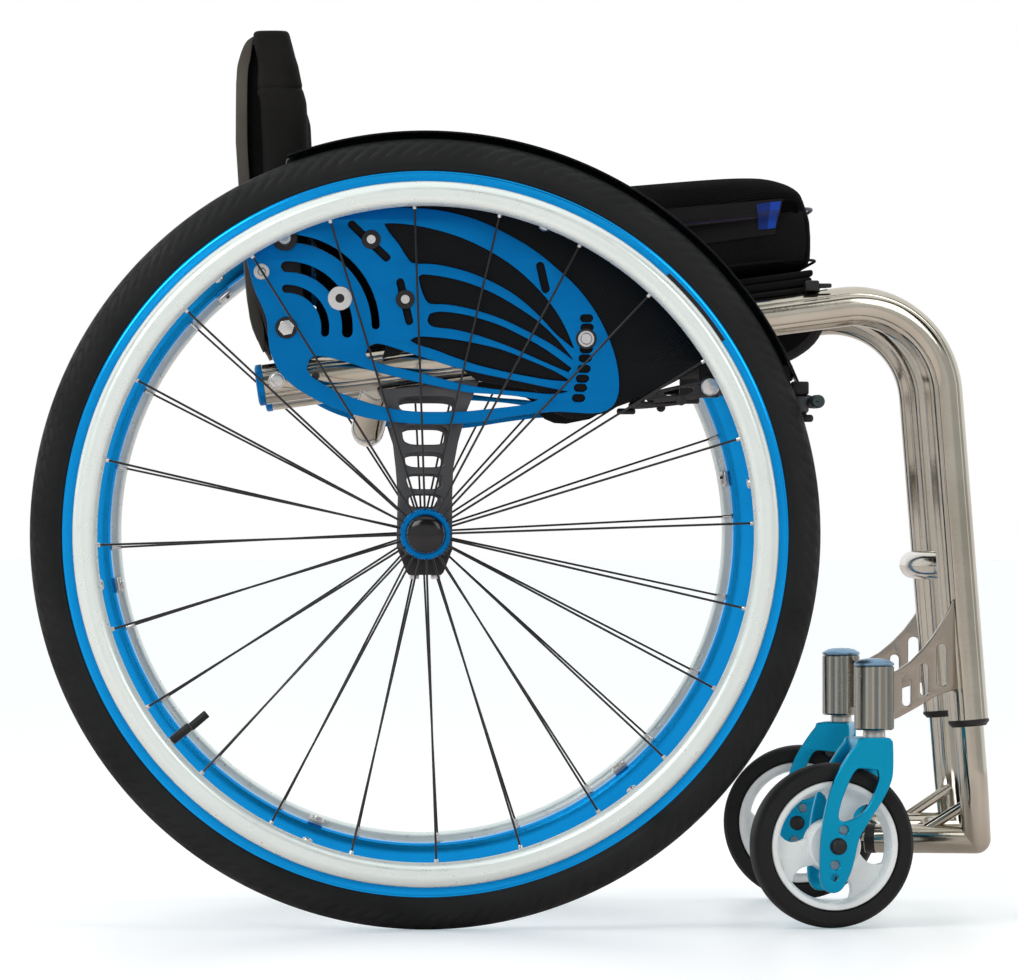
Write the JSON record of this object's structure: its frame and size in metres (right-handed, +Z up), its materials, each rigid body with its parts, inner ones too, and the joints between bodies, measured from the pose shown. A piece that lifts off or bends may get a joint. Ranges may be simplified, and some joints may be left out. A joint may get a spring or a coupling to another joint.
{
  "type": "rigid wheelchair",
  "caption": "Rigid-frame active wheelchair with spoked rear wheels, handrims, carbon side guards, slotted side plates, casters, folding back, cushion and tubular footrest.",
  "frame": {"origin": "on the floor, at the middle of the bounding box seen from above", "axes": "+X forward, +Y to the chair's left, +Z up"},
  "size_m": [0.7236, 0.5966, 0.674],
  "materials": {
    "nickel": "polished nickel plate",
    "steel": "brushed",
    "grey_anodised": "grey anodised",
    "blue_anodised": "blue anodised",
    "cyan_anodised": "cyan anodised",
    "white_coat": "white coat",
    "white_wheel": "silver coat",
    "black_plastic": "matte",
    "rubber": "matte",
    "carbon": "carbon twill in clear coat",
    "black_fabric": "woven",
    "dark_fabric": "woven"
  },
  "bodies": {
    "frame": {"right_side_tube": "nickel", "right_rail_cap": "blue_anodised", "right_sleeve_ring": "black_plastic", "right_axle_bracket": "grey_anodised", "right_axle_clamp": "black_plastic", "right_caster_bracket": "nickel", "right_housing_cap": "blue_anodised", "right_side_plate": "blue_anodised", "right_side_guard": "carbon", "right_pivot_bolt": "steel", "right_brake_clamp": "black_plastic", "left_side_tube": "nickel", "left_rail_cap": "blue_anodised", "left_sleeve_ring": "black_plastic", "left_axle_bracket": "grey_anodised", "left_axle_clamp": "black_plastic", "left_caster_bracket": "nickel", "left_housing_cap": "blue_anodised", "left_side_plate": "blue_anodised", "left_side_guard": "carbon", "left_pivot_bolt": "steel", "left_brake_clamp": "black_plastic", "shin_cross_tube": "nickel", "seat_cross_tube": "nickel", "axle_tube": "nickel", "seat_sling": "black_fabric", "seat_pan": "black_plastic", "seat_cushion": "black_fabric", "seat_pouch": "black_fabric"},
    "right_wheel": {"right_tyre": "rubber", "right_rim": "blue_anodised", "right_handrim": "white_coat", "right_hub_and_spokes": "blue_anodised", "right_wheel_bearing": "steel", "right_release_axle": "steel"},
    "right_button": {"right_release_button": "black_plastic"},
    "right_caster": {"right_fork": "cyan_anodised", "right_caster_bolt": "black_plastic"},
    "right_caster_roller": {"right_caster_wheel": "white_wheel", "right_caster_tyre": "rubber"},
    "right_brake_hand": {"right_brake_lever": "black_plastic"},
    "right_brake_shoe": {"right_brake_arm": "grey_anodised"},
    "left_wheel": {"left_tyre": "rubber", "left_rim": "blue_anodised", "left_handrim": "white_coat", "left_hub_and_spokes": "blue_anodised", "left_wheel_bearing": "steel", "left_release_axle": "steel"},
    "left_button": {"left_release_button": "black_plastic"},
    "left_caster": {"left_fork": "cyan_anodised", "left_caster_bolt": "black_plastic"},
    "left_caster_roller": {"left_caster_wheel": "white_wheel", "left_caster_tyre": "rubber"},
    "left_brake_hand": {"left_brake_lever": "black_plastic"},
    "left_brake_shoe": {"left_brake_arm": "grey_anodised"},
    "back": {"back_frame": "grey_anodised", "back_upholstery": "black_fabric", "back_rear_panel": "dark_fabric"},
    "foot": {"footrest": "nickel"}
  },
  "joints": [
    {"name": "right_wheel_spin", "type": "hinge", "parent": "frame", "child": "right_wheel", "pos_m": [-0.0666, -0.245, 0.295], "axis": [0, 1, 0], "continuous": true},
    {"name": "right_button_push", "type": "slide", "parent": "right_wheel", "child": "right_button", "axis": [0, 1, 0], "range_m": [0, 0.004], "stiffness_N_per_m": 400},
    {"name": "right_caster_swivel", "type": "hinge", "parent": "frame", "child": "right_caster", "pos_m": [0.2697, -0.2225, 0.1428], "axis": [0, 0, 1], "continuous": true},
    {"name": "right_caster_spin", "type": "hinge", "parent": "right_caster", "child": "right_caster_roller", "pos_m": [0.2375, -0.22818, 0.062], "axis": [-0.1736, 0.9848, 0], "continuous": true},
    {"name": "right_brake_lever_turn", "type": "hinge", "parent": "frame", "child": "right_brake_hand", "pos_m": [0.1468, -0.2165, 0.4055], "axis": [0, 1, 0], "range_deg": [0, 60]},
    {"name": "right_brake_arm_turn", "type": "hinge", "parent": "frame", "child": "right_brake_shoe", "pos_m": [0.1468, -0.2165, 0.4055], "axis": [0, 1, 0], "range_deg": [0, 11]},
    {"name": "left_wheel_spin", "type": "hinge", "parent": "frame", "child": "left_wheel", "pos_m": [-0.0666, 0.245, 0.295], "axis": [0, 1, 0], "continuous": true},
    {"name": "left_button_push", "type": "slide", "parent": "left_wheel", "child": "left_button", "axis": [0, -1, 0], "range_m": [0, 0.004], "stiffness_N_per_m": 400},
    {"name": "left_caster_swivel", "type": "hinge", "parent": "frame", "child": "left_caster", "pos_m": [0.2697, 0.2225, 0.1428], "axis": [0, 0, 1], "continuous": true},
    {"name": "left_caster_spin", "type": "hinge", "parent": "left_caster", "child": "left_caster_roller", "pos_m": [0.2375, 0.22818, 0.062], "axis": [0.1736, 0.9848, 0], "continuous": true},
    {"name": "left_brake_lever_turn", "type": "hinge", "parent": "frame", "child": "left_brake_hand", "pos_m": [0.1468, 0.2165, 0.4055], "axis": [0, 1, 0], "range_deg": [0, 60]},
    {"name": "left_brake_arm_turn", "type": "hinge", "parent": "frame", "child": "left_brake_shoe", "pos_m": [0.1468, 0.2165, 0.4055], "axis": [0, 1, 0], "range_deg": [0, 11]},
    {"name": "back_fold", "type": "hinge", "parent": "frame", "child": "back", "pos_m": [-0.1707, 0, 0.4495], "axis": [0, 1, 0], "range_deg": [0, 85], "deforming": ["back_upholstery", "back_rear_panel"]},
    {"name": "footrest_slide", "type": "slide", "parent": "frame", "child": "foot", "axis": [-0.0781, 0, 0.9969], "range_m": [-0.02, 0.03]}
  ],
  "couplings": [
    {"joint": "right_brake_arm_turn", "follows": "right_brake_lever_turn", "ratio": 0.1833},
    {"joint": "left_brake_arm_turn", "follows": "left_brake_lever_turn", "ratio": 0.1833}
  ]
}
